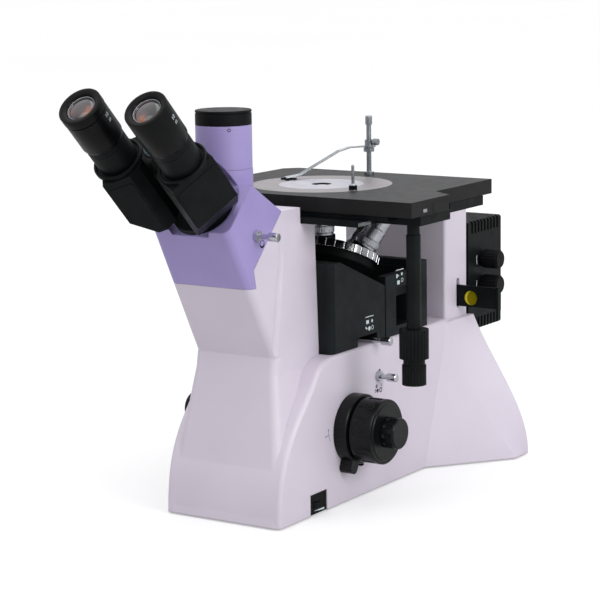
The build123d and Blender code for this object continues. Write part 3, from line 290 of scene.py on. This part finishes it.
# Dark grey of the stage plate and ear cover, lighter than the other blacks: partly the stage's own tone, partly
# painted sheen of the light grazing its top.
STAGE_TONE_AND_SHEEN = black_coat("stage_tone_and_sheen_finish", "1F201F", "242423", 0.45, 0.51)
LENS_PAINTED_REFLECTION = lens_with_painted_reflection("eye_lens_painted_reflection_finish")
WHITE_INK = print_and_painted_light("white_ink_finish", "C2D0D4", "D3DEE0")
BLACK_INK = print_and_painted_light("black_ink_finish", "141315", "1E1C20")
BLUE_INK = print_and_painted_light("scale_ink_finish", "6D8FA0", "7FA0B0")
# Painted highlight: bright yellow for the lit edge of the filter glass.
GLASS_EDGE_HIGHLIGHT = print_and_painted_light("glass_edge_highlight_finish", "DCCB00", "EEDC14")
# Painted shade: near-black, darker than any black part, for screw heads sunk in their holes and for the bore of
# the stage insert; it stands for the shade of the holes over the screws' own black.
HOLE_SHADE = print_and_painted_light("hole_shade_finish", "020202", "060606")

BY_SLOT = {
    "body_paint": BODY,
    "head_paint": HEAD,
    "black_anodised": ANODISED,
    "black_plastic": PLASTIC,
    "chrome": CHROME,
    "rubber": RUBBER,
    "stage_ring": RING,
    "glass": GLASS,
    "steel": STEEL,
}
BY_NODE = {
    "stage_plate": STAGE_TONE_AND_SHEEN,
    "coarse_knobs": KNOB,
    "fine_drive": KNOB,
    "tension_collar": KNOB,
    "filter_glasses": FILTER_GLASS,
    "illuminator_block": BLOCK,
    "filter_block": BLOCK,
    "housing_cover": BLOCK,
    "stage_insert": INSERT,
    "objective_5x": SATIN,
    "objective_10x": SATIN,
    "objective_20x": SATIN,
    "objective_50x": SATIN,
    "clamp_arm": STEEL,
    "clamp_post": STEEL,
    "clamp_collar": STEEL,
    "ring_pin": STEEL,
}


def dress_nodes():
    """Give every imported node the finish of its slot, or its own."""
    slots = {}
    for part in frame["record"]["subparts"]:
        slots[part["node"]] = part["material_slot"]
    for name, piece in frame["nodes"].items():
        material = BY_NODE.get(name, BY_SLOT[slots[name]])
        for slot in piece.material_slots:
            slot.material = material


def axes(origin, right, normal):
    """Frame in millimetres whose third axis is normal and whose first is right."""
    z = Vector(normal).normalized()
    x = Vector(right).normalized()
    frame = Matrix((x, z.cross(x), z)).transposed().to_4x4()
    frame.translation = origin
    return frame


def side(x):
    """Frame on the right face at x; its own axes are the world's y and z."""
    return axes((x, 0.0, 0.0), (0, 1, 0), (1, 0, 0))


HINGE = axes(HINGE_AT, (1, 0, 0), (0, -1, 1))


def arm(hand):
    """Frame of one prism box: hand is 1 for the right one and -1 for the left one."""
    return HINGE @ Matrix.Rotation(math.radians(-hand * ARM_TURN), 4, "Z")


def solid(name, points, faces, material, body="root", smooth=False):
    """Mesh object from points in millimetres, given a finish and set on its CAD body."""
    mesh = bpy.data.meshes.new(name)
    mesh.from_pydata([Vector(point) * MM for point in points], [], faces)
    form = bmesh.new()
    form.from_mesh(mesh)
    bmesh.ops.remove_doubles(form, verts=form.verts, dist=1e-7)
    bmesh.ops.recalc_face_normals(form, faces=form.faces)
    form.to_mesh(mesh)
    form.free()
    for face in mesh.polygons:
        face.use_smooth = smooth
    mesh.materials.append(material)
    piece = bpy.data.objects.new(name, mesh)
    bpy.context.collection.objects.link(piece)
    if smooth:
        mesh.set_sharp_from_angle(angle=math.radians(35))
    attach(piece, body)
    return piece


def turned(name, frame, profile, material, body="root", steps=72):
    """Solid of revolution about the frame's third axis from (radius, height) points."""
    points = []
    for radius, height in profile:
        for step in range(steps):
            turn = math.tau * step / steps
            points.append(frame @ Vector((radius * math.cos(turn), radius * math.sin(turn), height)))
    faces = []
    for ring in range(len(profile) - 1):
        for step in range(steps):
            after = (step + 1) % steps
            low, high = ring * steps, (ring + 1) * steps
            faces.append((low + step, low + after, high + after, high + step))
    return solid(name, points, faces, material, body, True)


def ribbed(name, frame, inner, outer, low, high, count, depth, material, body):
    """Sleeve with fine ribs along its outside."""
    steps = count * 4
    heights = (low, low + depth, high - depth, high)
    points = []
    for number, height in enumerate(heights):
        edge = depth if number in (0, 3) else 0.0
        for step in range(steps):
            turn = math.tau * step / steps
            radius = outer - edge - (depth if step % 4 in (2, 3) else 0.0)
            points.append(frame @ Vector((radius * math.cos(turn), radius * math.sin(turn), height)))
    for height in (low, high):
        for step in range(steps):
            turn = math.tau * step / steps
            points.append(frame @ Vector((inner * math.cos(turn), inner * math.sin(turn), height)))
    rings = ((4, 0), (0, 1), (1, 2), (2, 3), (3, 5), (5, 4))
    faces = []
    for low_ring, high_ring in rings:
        for step in range(steps):
            after = (step + 1) % steps
            a, b = low_ring * steps, high_ring * steps
            faces.append((a + step, a + after, b + after, b + step))
    return solid(name, points, faces, material, body, True)


def rounded(corners, radius, steps=6):
    """Outline of a convex polygon with its corners rounded, less so where a side is short."""
    outline = []
    for number, corner in enumerate(corners):
        here = Vector(corner)
        before = Vector(corners[number - 1]) - here
        after = Vector(corners[(number + 1) % len(corners)]) - here
        reach = min(radius, before.length * 0.4, after.length * 0.4)
        before, after = before.normalized() * reach, after.normalized() * reach
        for step in range(steps + 1):
            share = step / steps
            outline.append(here + before * (1 - share) ** 2 + after * share**2)
    return outline


def plate(name, frame, outline, low, high, material, body="root", edge=0.2):
    """Flat plate from an outline, with a chamfer round its upper edge."""
    middle = sum((Vector(point) for point in outline), Vector((0, 0))) / len(outline)
    inner = [middle + (Vector(p) - middle) * (1 - edge / (Vector(p) - middle).length) for p in outline]
    points = []
    for loop, height in ((outline, low), (outline, high - edge), (inner, high)):
        points += [frame @ Vector((point[0], point[1], height)) for point in loop]
    count = len(outline)
    faces = [tuple(range(count)), tuple(range(2 * count, 3 * count))]
    for ring in (0, count):
        for step in range(count):
            after = (step + 1) % count
            faces.append((ring + step, ring + after, ring + count + after, ring + count + step))
    return solid(name, points, faces, material, body)


def stroke(line, width, closed=False):
    """Band along a line of points, as pairs of points to its left and right."""
    pairs = []
    count = len(line)
    for number, point in enumerate(line):
        before = line[number - 1] if closed or number else point
        after = line[(number + 1) % count] if closed or number < count - 1 else point
        ahead = (Vector(after) - Vector(before)).normalized()
        across = Vector((-ahead[1], ahead[0])) * width / 2
        pairs.append((Vector(point) - across, Vector(point) + across))
    return pairs + pairs[:1] if closed else pairs


def circle(x, y, radius, first=0.0, last=360.0, steps=20):
    """Points along an arc, in degrees."""
    turns = [math.radians(first + (last - first) * step / steps) for step in range(steps + 1)]
    line = [(x + radius * math.cos(turn), y + radius * math.sin(turn)) for turn in turns]
    return line[:-1] if last - first == 360.0 else line


def mark(name, frame, bands, material, body="root"):
    """Mark made of bands, a hair proud of the face it lies on: print, and on the filter holder a painted
    highlight.
    """
    points, faces = [], []
    for pairs in bands:
        for left, right in pairs:
            for height in (-PRINT_T, PRINT_T):
                for point in (left, right):
                    points.append(frame @ Vector((point[0], point[1], height)))
        start = len(points) - 4 * len(pairs)
        for step in range(len(pairs) - 1):
            a, b = start + 4 * step, start + 4 * step + 4
            faces += [(a, a + 1, b + 1, b), (a + 2, a + 3, b + 3, b + 2)]
            faces += [(a, a + 2, b + 2, b), (a + 1, a + 3, b + 3, b + 1)]
        last = len(points) - 4
        faces += [(start, start + 1, start + 3, start + 2), (last, last + 1, last + 3, last + 2)]
    return solid(name, points, faces, material, body)


def dot(x, y, radius):
    """Filled round dot as a band."""
    return stroke(circle(x, y, radius / 2, 0.0, 360.0, 14), radius, True)


def number_mark(name, frame, text, size, radius, turn, height, material, body):
    """Plain numerals wrapped round a barrel at an angle and a height along its axis."""
    curve = bpy.data.curves.new(name, "FONT")
    curve.body = text
    curve.size = size
    curve.align_x = "CENTER"
    curve.align_y = "CENTER"
    curve.extrude = PRINT_T
    writer = bpy.data.objects.new(name + "_outline", curve)
    mesh = bpy.data.meshes.new_from_object(writer)
    for corner in mesh.vertices:
        angle = turn + corner.co.x / radius
        out = radius + corner.co.z
        place = Vector((out * math.cos(angle), out * math.sin(angle), height + corner.co.y))
        corner.co = (frame @ place) * MM
    mesh.name = name
    mesh.materials.clear()
    mesh.materials.append(material)
    bpy.data.objects.remove(writer)
    piece = bpy.data.objects.new(name, mesh)
    bpy.context.collection.objects.link(piece)
    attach(piece, body)


def eyepiece(label, hand, number_turn):
    """Eye sleeve, bright lens rim, eye lens and plain numerals of one eyepiece."""
    body = label + "_eyepiece"
    frame = arm(hand) @ Matrix.Translation((hand * EYE_OUT, 0, 0))
    top = EYE_TOP + EYE_SLEEVE_RISE
    wide = EYE_SLEEVE_R
    sleeve = [(BARREL_R - 0.05, EYE_BASE + 5.0), (wide - 0.3, EYE_BASE + 7.6), (wide, EYE_BASE + 8.2)]
    if label == "left":
        groove = top - 8.4
        sleeve += [(wide, groove - 1.4), (wide - 1.1, groove - 1.3), (wide - 1.1, groove), (wide + 0.4, groove)]
        wide += 0.4
    sleeve += [(wide, top - 1.0), (wide - 0.3, top - 0.3), (wide - 1.0, top), (17.2, top - 0.1)]
    sleeve += [(14.6, top - 1.1), (13.7, top - 1.9), (13.3, top - 3.0), (13.1, top - 6.8)]
    turned(label + "_eye_sleeve", frame, sleeve, SLEEVE, body, 96)
    rim = [(13.15, top - 3.4), (12.9, top - 3.0), (12.55, top - 3.1), (12.4, top - 3.7), (12.4, top - 6.0)]
    turned(label + "_lens_rim", frame, rim, SATIN, body, 96)
    dome = [(12.4, top - 6.4), (12.4, top - 4.2), (11.2, top - 3.3), (9.2, top - 2.5)]
    dome += [(6.6, top - 1.9), (3.5, top - 1.5), (0.0, top - 1.35)]
    turned(label + "_eye_lens", frame, [(0.0, top - 6.4)] + dome, LENS_PAINTED_REFLECTION, body, 96)
    turn = math.radians(number_turn)
    out = EYE_SLEEVE_R + 0.04
    number_mark(label + "_power", frame, "10", 5.4, out, turn, EYE_TOP - 11.6, WHITE_INK, body)
    number_mark(label + "_field", frame, "22", 3.9, out, turn, EYE_TOP - 17.4, WHITE_INK, body)


def box_covers(label, hand):
    """Thin cover plates on the front and the outer face of one prism box."""
    body = label + "_arm"
    across, rise = BOX_BEVEL
    top = BOX_HIGH - 8.0
    front = arm(hand) @ axes((0, BOX_FRONT, 0), (1, 0, 0), (0, -1, 0))
    corners = [(BOX_OUT - 1.0, top), (BOX_IN + 1.4, top), (BOX_IN + 1.4, BOX_LOW + 1.2)]
    corners += [(BOX_OUT - across - 0.6, BOX_LOW + 1.2), (BOX_OUT - 1.0, BOX_LOW + rise + 0.6)]
    outline = rounded([(hand * x, y) for x, y in corners], 4.0)
    plate(label + "_front_cover", front, outline, -0.3, 0.5, ANODISED, body, 0.25)
    spot = front @ Matrix.Translation((hand * 33.6, 100.5, 0.5))
    screw = [(0.0, -0.1), (0.9, -0.1), (1.0, 0.12), (1.25, 0.1), (1.35, -0.2)]
    # near-black screw head: painted shade of its hole
    turned(label + "_cover_screw", spot, screw, HOLE_SHADE, body, 24)
    outer = arm(hand) @ axes((hand * BOX_OUT, 0, 0), (0, hand, 0), (hand, 0, 0))
    low = BOX_LOW + rise + 1.2
    corners = [(BOX_FRONT + 1.2, top), (BOX_FRONT + 1.2, low), (BOX_REAR - 1.2, low), (BOX_REAR - 1.2, top)]
    outline = rounded([(hand * y, z) for y, z in corners], 4.0)
    plate(label + "_outer_cover", outer, outline, -0.3, 0.5, ANODISED, body, 0.25)


def hinge_dial():
    """Scale dial for the distance between the eyes, on the hinge post."""
    low, high = BOX_HIGH + 0.6, BOX_HIGH + 2.6
    foot = [(0.0, HUB_TOP - 0.5), (9.0, HUB_TOP - 0.5), (9.0, low - 1.0), (10.0, low)]
    head = [(16.0, low), (16.5, low + 0.4), (16.5, high - 0.5), (16.0, high), (0.0, high)]
    turned("hinge_dial", HINGE, foot + head, ANODISED)
    face = HINGE @ Matrix.Translation((0, 0, high))
    bands = []
    for step in range(-6, 7):
        turn = math.radians(205 + step * 9)
        reach = 12.0 if step % 3 == 0 else 13.2
        inner = (reach * math.cos(turn), reach * math.sin(turn))
        bands.append(stroke([inner, (15.2 * math.cos(turn), 15.2 * math.sin(turn))], 0.5))
    mark("hinge_dial_scale", face, bands, BLUE_INK)


def head_fittings():
    """Set screws of the photo tube and the plugged screw hole under the head rod."""
    for number, angle in enumerate((-44, -164, 76)):
        turn = math.radians(angle)
        out = Vector((math.cos(turn), math.sin(turn), 0))
        spot = axes(Vector(PHOTO_AT) + out * PHOTO_R, (-out[1], out[0], 0), out)
        screw = [(0.0, -0.2), (0.8, -0.2), (1.0, 0.1), (1.6, 0.12), (1.75, -0.6)]
        # near-black set screw: painted shade of its hole
        turned("tube_screw_" + str(number + 1), spot, screw, HOLE_SHADE, "root", 28)
    spot = axes((44.15, -171.1, 266.4), (0, 1, 0), (1, 0, 0.03))
    plug = [(0.0, 0.02), (3.2, 0.05), (3.4, 0.3), (3.8, 0.25), (3.95, -0.8)]
    turned("head_screw_plug", spot, plug, BLOCK, "root", 40)


def nosepiece_fittings():
    """Bright bead under the grip ring and the knurled collars of the objectives."""
    tilt = math.radians(TURRET_TILT)
    ring = axes(APEX, (1, 0, 0), (0, math.sin(tilt), math.cos(tilt)))
    bead = [(43.2, RIM_LOW - 0.1), (44.0, RIM_LOW - 0.1), (44.35, RIM_LOW - 0.5), (44.0, RIM_LOW - 0.9)]
    bead += [(43.2, RIM_LOW - 0.9), (43.2, RIM_LOW - 0.1)]
    turned("grip_bead", ring, bead, CHROME, "nosepiece", 120)
    back = ring.inverted() @ axes(APEX, (1, 0, 0), (0, 0, 1))
    for number in range(4):
        frame = ring @ Matrix.Rotation(math.radians(90 * number), 4, "Z") @ back
        foot = OBJECTIVE_FOOT
        name = "objective_knurl_" + str(number + 1)
        low, high = foot + 3.0, foot + 8.6
        ribbed(name, frame, OBJECTIVE_R - 0.05, OBJECTIVE_R + 0.35, low, high, 48, 0.25, SATIN, "nosepiece")


def stage_fittings():
    """Rail end, window, cover and screw on the stage's right side, and the nut of the ring pin."""
    corners = [(-103.6, 277.6), (-81.0, 277.6), (-81.0, 281.0), (-103.6, 281.0)]
    plate("rail_end", side(BASE_SIDE), rounded(corners, 0.8), -0.3, 0.35, STEEL, "root", 0.15)
    corners = [(-68.2, 289.6), (-61.4, 289.6), (-61.4, 292.8), (-68.2, 292.8)]
    plate("rail_window", side(EAR_SIDE), rounded(corners, 0.5), -0.3, 0.2, SATIN, "table", 0.1)
    corners = [(-50.0, 287.2), (-20.6, 287.2), (-20.6, 296.6), (-50.0, 296.6)]
    plate("ear_cover", side(EAR_SIDE), rounded(corners, 0.8), -0.3, 0.4, STAGE_TONE_AND_SHEEN, "table", 0.2)
    spot = axes((CARRIAGE_SIDE, -46.9, 283.0), (0, 1, 0), (1, 0, 0))
    screw = [(0.0, -0.1), (1.0, -0.1), (1.2, 0.25), (1.5, 0.22), (1.6, -0.4)]
    # near-black screw head: painted shade of its hole
    turned("ear_screw", spot, screw, HOLE_SHADE, "carriage", 28)
    nut = axes((*PIN_AT, STAGE_TOP), (1, 0, 0), (0, 0, 1))
    ribbed("pin_nut", nut, 3.7, 4.05, 0.4, 4.6, 22, 0.25, PLASTIC, "turntable")
    hole = axes((*HOLE_AT, STAGE_TOP), (1, 0, 0), (0, 0, 1))
    # near-black liner: painted shade inside the bore of the insert
    liner = [(HOLE_R + 0.1, -2.0), (HOLE_R + 0.1, -0.3), (HOLE_R - 0.25, -0.35), (HOLE_R - 0.25, -2.0)]
    turned("insert_liner", hole, liner + liner[:1], HOLE_SHADE, "turntable")


def body_marks():
    """Plain black marks on the stand and white ones on the black parts; none of them is writing."""
    stand = side(BODY_SIDE)
    bands = [stroke(circle(-6.2, 104.6, 1.2), 1.2, True), stroke([(2.8, 103.2), (2.8, 106.0)], 0.8)]
    bands += [stroke([(-9.6, 102.0), (-7.2, 100.4), (-9.4, 98.6)], 1.1)]
    bands += [dot(-4.4, 100.0, 2.1), stroke(circle(1.4, 99.8, 2.1), 1.1, True)]
    bands += [dot(-0.2, 119.6, 1.6)]
    mark("light_path_marks", stand, bands, BLACK_INK)
    bands = [dot(-95.6, 78.8, 0.8), stroke([(-95.6, 78.4), (-94.9, 73.9)], 0.4)]
    bands += [stroke([(-94.9, 73.9), (-98.2, 73.4)], 0.4), stroke([(-98.2, 73.4), (-101.4, 72.6)], 0.7)]
    bands += [stroke([(-94.9, 73.9), (-92.6, 67.6)], 0.4)]
    mark("focus_marks", stand, bands, BLACK_INK)
    cover = side(HOUSING_SIDE)
    bands = [stroke([(-20.6, 175.4), (-5.4, 175.4)], 0.8), dot(-8.2, 170.4, 1.6)]
    bands += [stroke([(-19.2, 170.4), (-14.2, 170.4)], 3.6), stroke([(-20.4, 165.6), (-17.4, 163.4)], 1.6)]
    bands += [dot(-13.4, 163.6, 2.2), stroke(circle(-7.6, 163.8, 1.9), 0.6, True)]
    mark("cover_marks", cover, bands, WHITE_INK)
    bands = [stroke([(38.4, 213.4), (53.0, 213.4)], 0.8), dot(49.6, 208.6, 1.6)]
    bands += [stroke([(40.0, 209.6), (40.0, 205.6)], 2.6), stroke([(41.6, 207.6), (44.0, 207.6)], 1.2)]
    bands += [stroke([(40.4, 200.8), (45.4, 200.8)], 4.0), stroke(circle(50.2, 202.4, 1.8), 0.6, True)]
    mark("block_marks", cover, bands, WHITE_INK)
    for number, (y, z) in enumerate(LAMP_KNOBS):
        bands = [stroke(circle(y, z, 12.6, 158.0, 204.0, 12), 1.0)]
        mark("lamp_mark_" + str(number + 1), side(LAMP_SIDE), bands, WHITE_INK)
    panel = side(PANEL_SIDE)
    wedge = [((-121.0, 5.0), (-121.0, 5.3)), ((-103.4, 3.4), (-103.4, 5.4))]
    mark("brightness_wedge", panel, [wedge], WHITE_INK)
    spot = axes((PANEL_SIDE, -105.6, 15.6), (0, 1, 0), (1, 0, 0))
    screw = [(0.0, -0.1), (1.1, -0.1), (1.3, 0.15), (1.6, 0.1), (1.7, -0.4)]
    # near-black screw head: painted shade of its hole
    turned("panel_screw", spot, screw, HOLE_SHADE, "root", 28)
    spot = axes((BODY_SIDE, -41.2, 34.0), (0, 1, 0), (1, 0, 0))
    pin = [(0.0, -0.5), (1.9, -0.5), (1.9, 3.4), (1.5, 3.8), (1.3, 3.8), (1.3, 5.0), (1.0, 5.3), (0.0, 5.3)]
    turned("tension_stop", spot, pin, PLASTIC, "root", 32)


def filter_edge_highlight():
    """Painted highlight: a bright yellow crescent on the holder, for the lit edge of the yellow glass seen past
    the rim of its hole.
    """
    frame = axes(FILTER_AT, (1, 0, 0), (0, -1, 0))
    outer = circle(0, 0, 7.35, 105.0, 255.0, 24)
    inner = circle(2.7, 0, 7.6, 113.0, 247.0, 24)
    bands = [[(Vector(a), Vector(b)) for a, b in zip(outer, inner)]]
    mark("filter_glass_edge_highlight", frame, bands, GLASS_EDGE_HIGHLIGHT, "filter_holder")


def floor():
    """A plain pale floor far wider than the view, white to the camera and duller to the object above it."""
    mesh = bpy.data.meshes.new("floor")
    form = bmesh.new()
    bmesh.ops.create_grid(form, x_segments=1, y_segments=1, size=FLOOR_SIZE / 2)
    form.to_mesh(mesh)
    form.free()
    piece = bpy.data.objects.new("floor", mesh)
    bpy.context.collection.objects.link(piece)
    finish = Finish("floor_finish", Roughness=0.8, Specular_IOR_Level=0.1, Emission_Color=(1, 1, 1, 1))
    finish.mottle(FLOOR_COLOURS[0], FLOOR_COLOURS[1], 0.8)
    glow = finish.add("ShaderNodeMath")
    glow.operation = "MULTIPLY"
    glow.inputs[1].default_value = FLOOR_GLOW
    finish.join(finish.tree.nodes.new("ShaderNodeLightPath").outputs["Is Camera Ray"], glow.inputs[0])
    finish.join(glow.outputs["Value"], finish.shader.inputs["Emission Strength"])
    mesh.materials.append(finish.material)


def sky():
    """Pale light from all round, stronger from above, and white where the camera sees it past the floor."""
    world = bpy.data.worlds.new("studio")
    world.use_nodes = True
    nodes, links = world.node_tree.nodes, world.node_tree.links
    background = nodes["Background"]
    background.inputs["Color"].default_value = linear(SKY_COLOUR)
    split = nodes.new("ShaderNodeSeparateXYZ")
    links.new(nodes.new("ShaderNodeTexCoord").outputs["Generated"], split.inputs["Vector"])
    spread = nodes.new("ShaderNodeMapRange")
    for socket, value in zip(("From Min", "From Max", "To Min", "To Max"), SKY_SPAN + SKY_STRENGTH):
        spread.inputs[socket].default_value = value
    links.new(split.outputs["Z"], spread.inputs["Value"])
    shown = nodes.new("ShaderNodeMath")
    shown.operation = "MAXIMUM"
    links.new(spread.outputs["Result"], shown.inputs[0])
    links.new(nodes.new("ShaderNodeLightPath").outputs["Is Camera Ray"], shown.inputs[1])
    links.new(shown.outputs["Value"], background.inputs["Strength"])
    bpy.context.scene.world = world


def lamp(name, place, size, power, colour):
    """A square soft box that faces the object."""
    data = bpy.data.lights.new(name, "AREA")
    data.size = size
    data.energy = power
    data.color = linear(colour)[:3]
    piece = bpy.data.objects.new(name, data)
    piece.location = place
    away = Vector(LIGHT_AIM) - Vector(place)
    piece.rotation_euler = away.to_track_quat("-Z", "Y").to_euler()
    bpy.context.collection.objects.link(piece)


def camera():
    """The photograph's view: place, direction, roll and focal length."""
    turn, tilt, roll = (math.radians(a) for a in (CAMERA_AZIMUTH, CAMERA_PITCH, CAMERA_ROLL))
    ahead = Vector((-math.sin(turn) * math.cos(tilt), math.cos(turn) * math.cos(tilt), -math.sin(tilt)))
    level = Vector((math.cos(turn), math.sin(turn), 0.0))
    down = ahead.cross(level)
    right = level * math.cos(roll) - down * math.sin(roll)
    lower = level * math.sin(roll) + down * math.cos(roll)
    axes = Matrix((right, -lower, -ahead)).transposed().to_4x4()
    data = bpy.data.cameras.new("photo_camera")
    data.sensor_width = SENSOR_MM
    data.lens = FOCAL_PIXELS * SENSOR_MM / PHOTO_PIXELS
    data.clip_end = 60.0
    piece = bpy.data.objects.new("photo_camera", data)
    piece.matrix_world = Matrix.Translation(CAMERA_PLACE) @ axes
    bpy.context.collection.objects.link(piece)
    bpy.context.scene.camera = piece


dress_nodes()
eyepiece("right", 1, 41.0)
eyepiece("left", -1, -19.7)
box_covers("right", 1)
box_covers("left", -1)
hinge_dial()
head_fittings()
nosepiece_fittings()
stage_fittings()
body_marks()
filter_edge_highlight()
floor()
sky()
for row in LIGHTS:
    lamp(*row)
camera()
bpy.context.scene.view_settings.view_transform = "Standard"
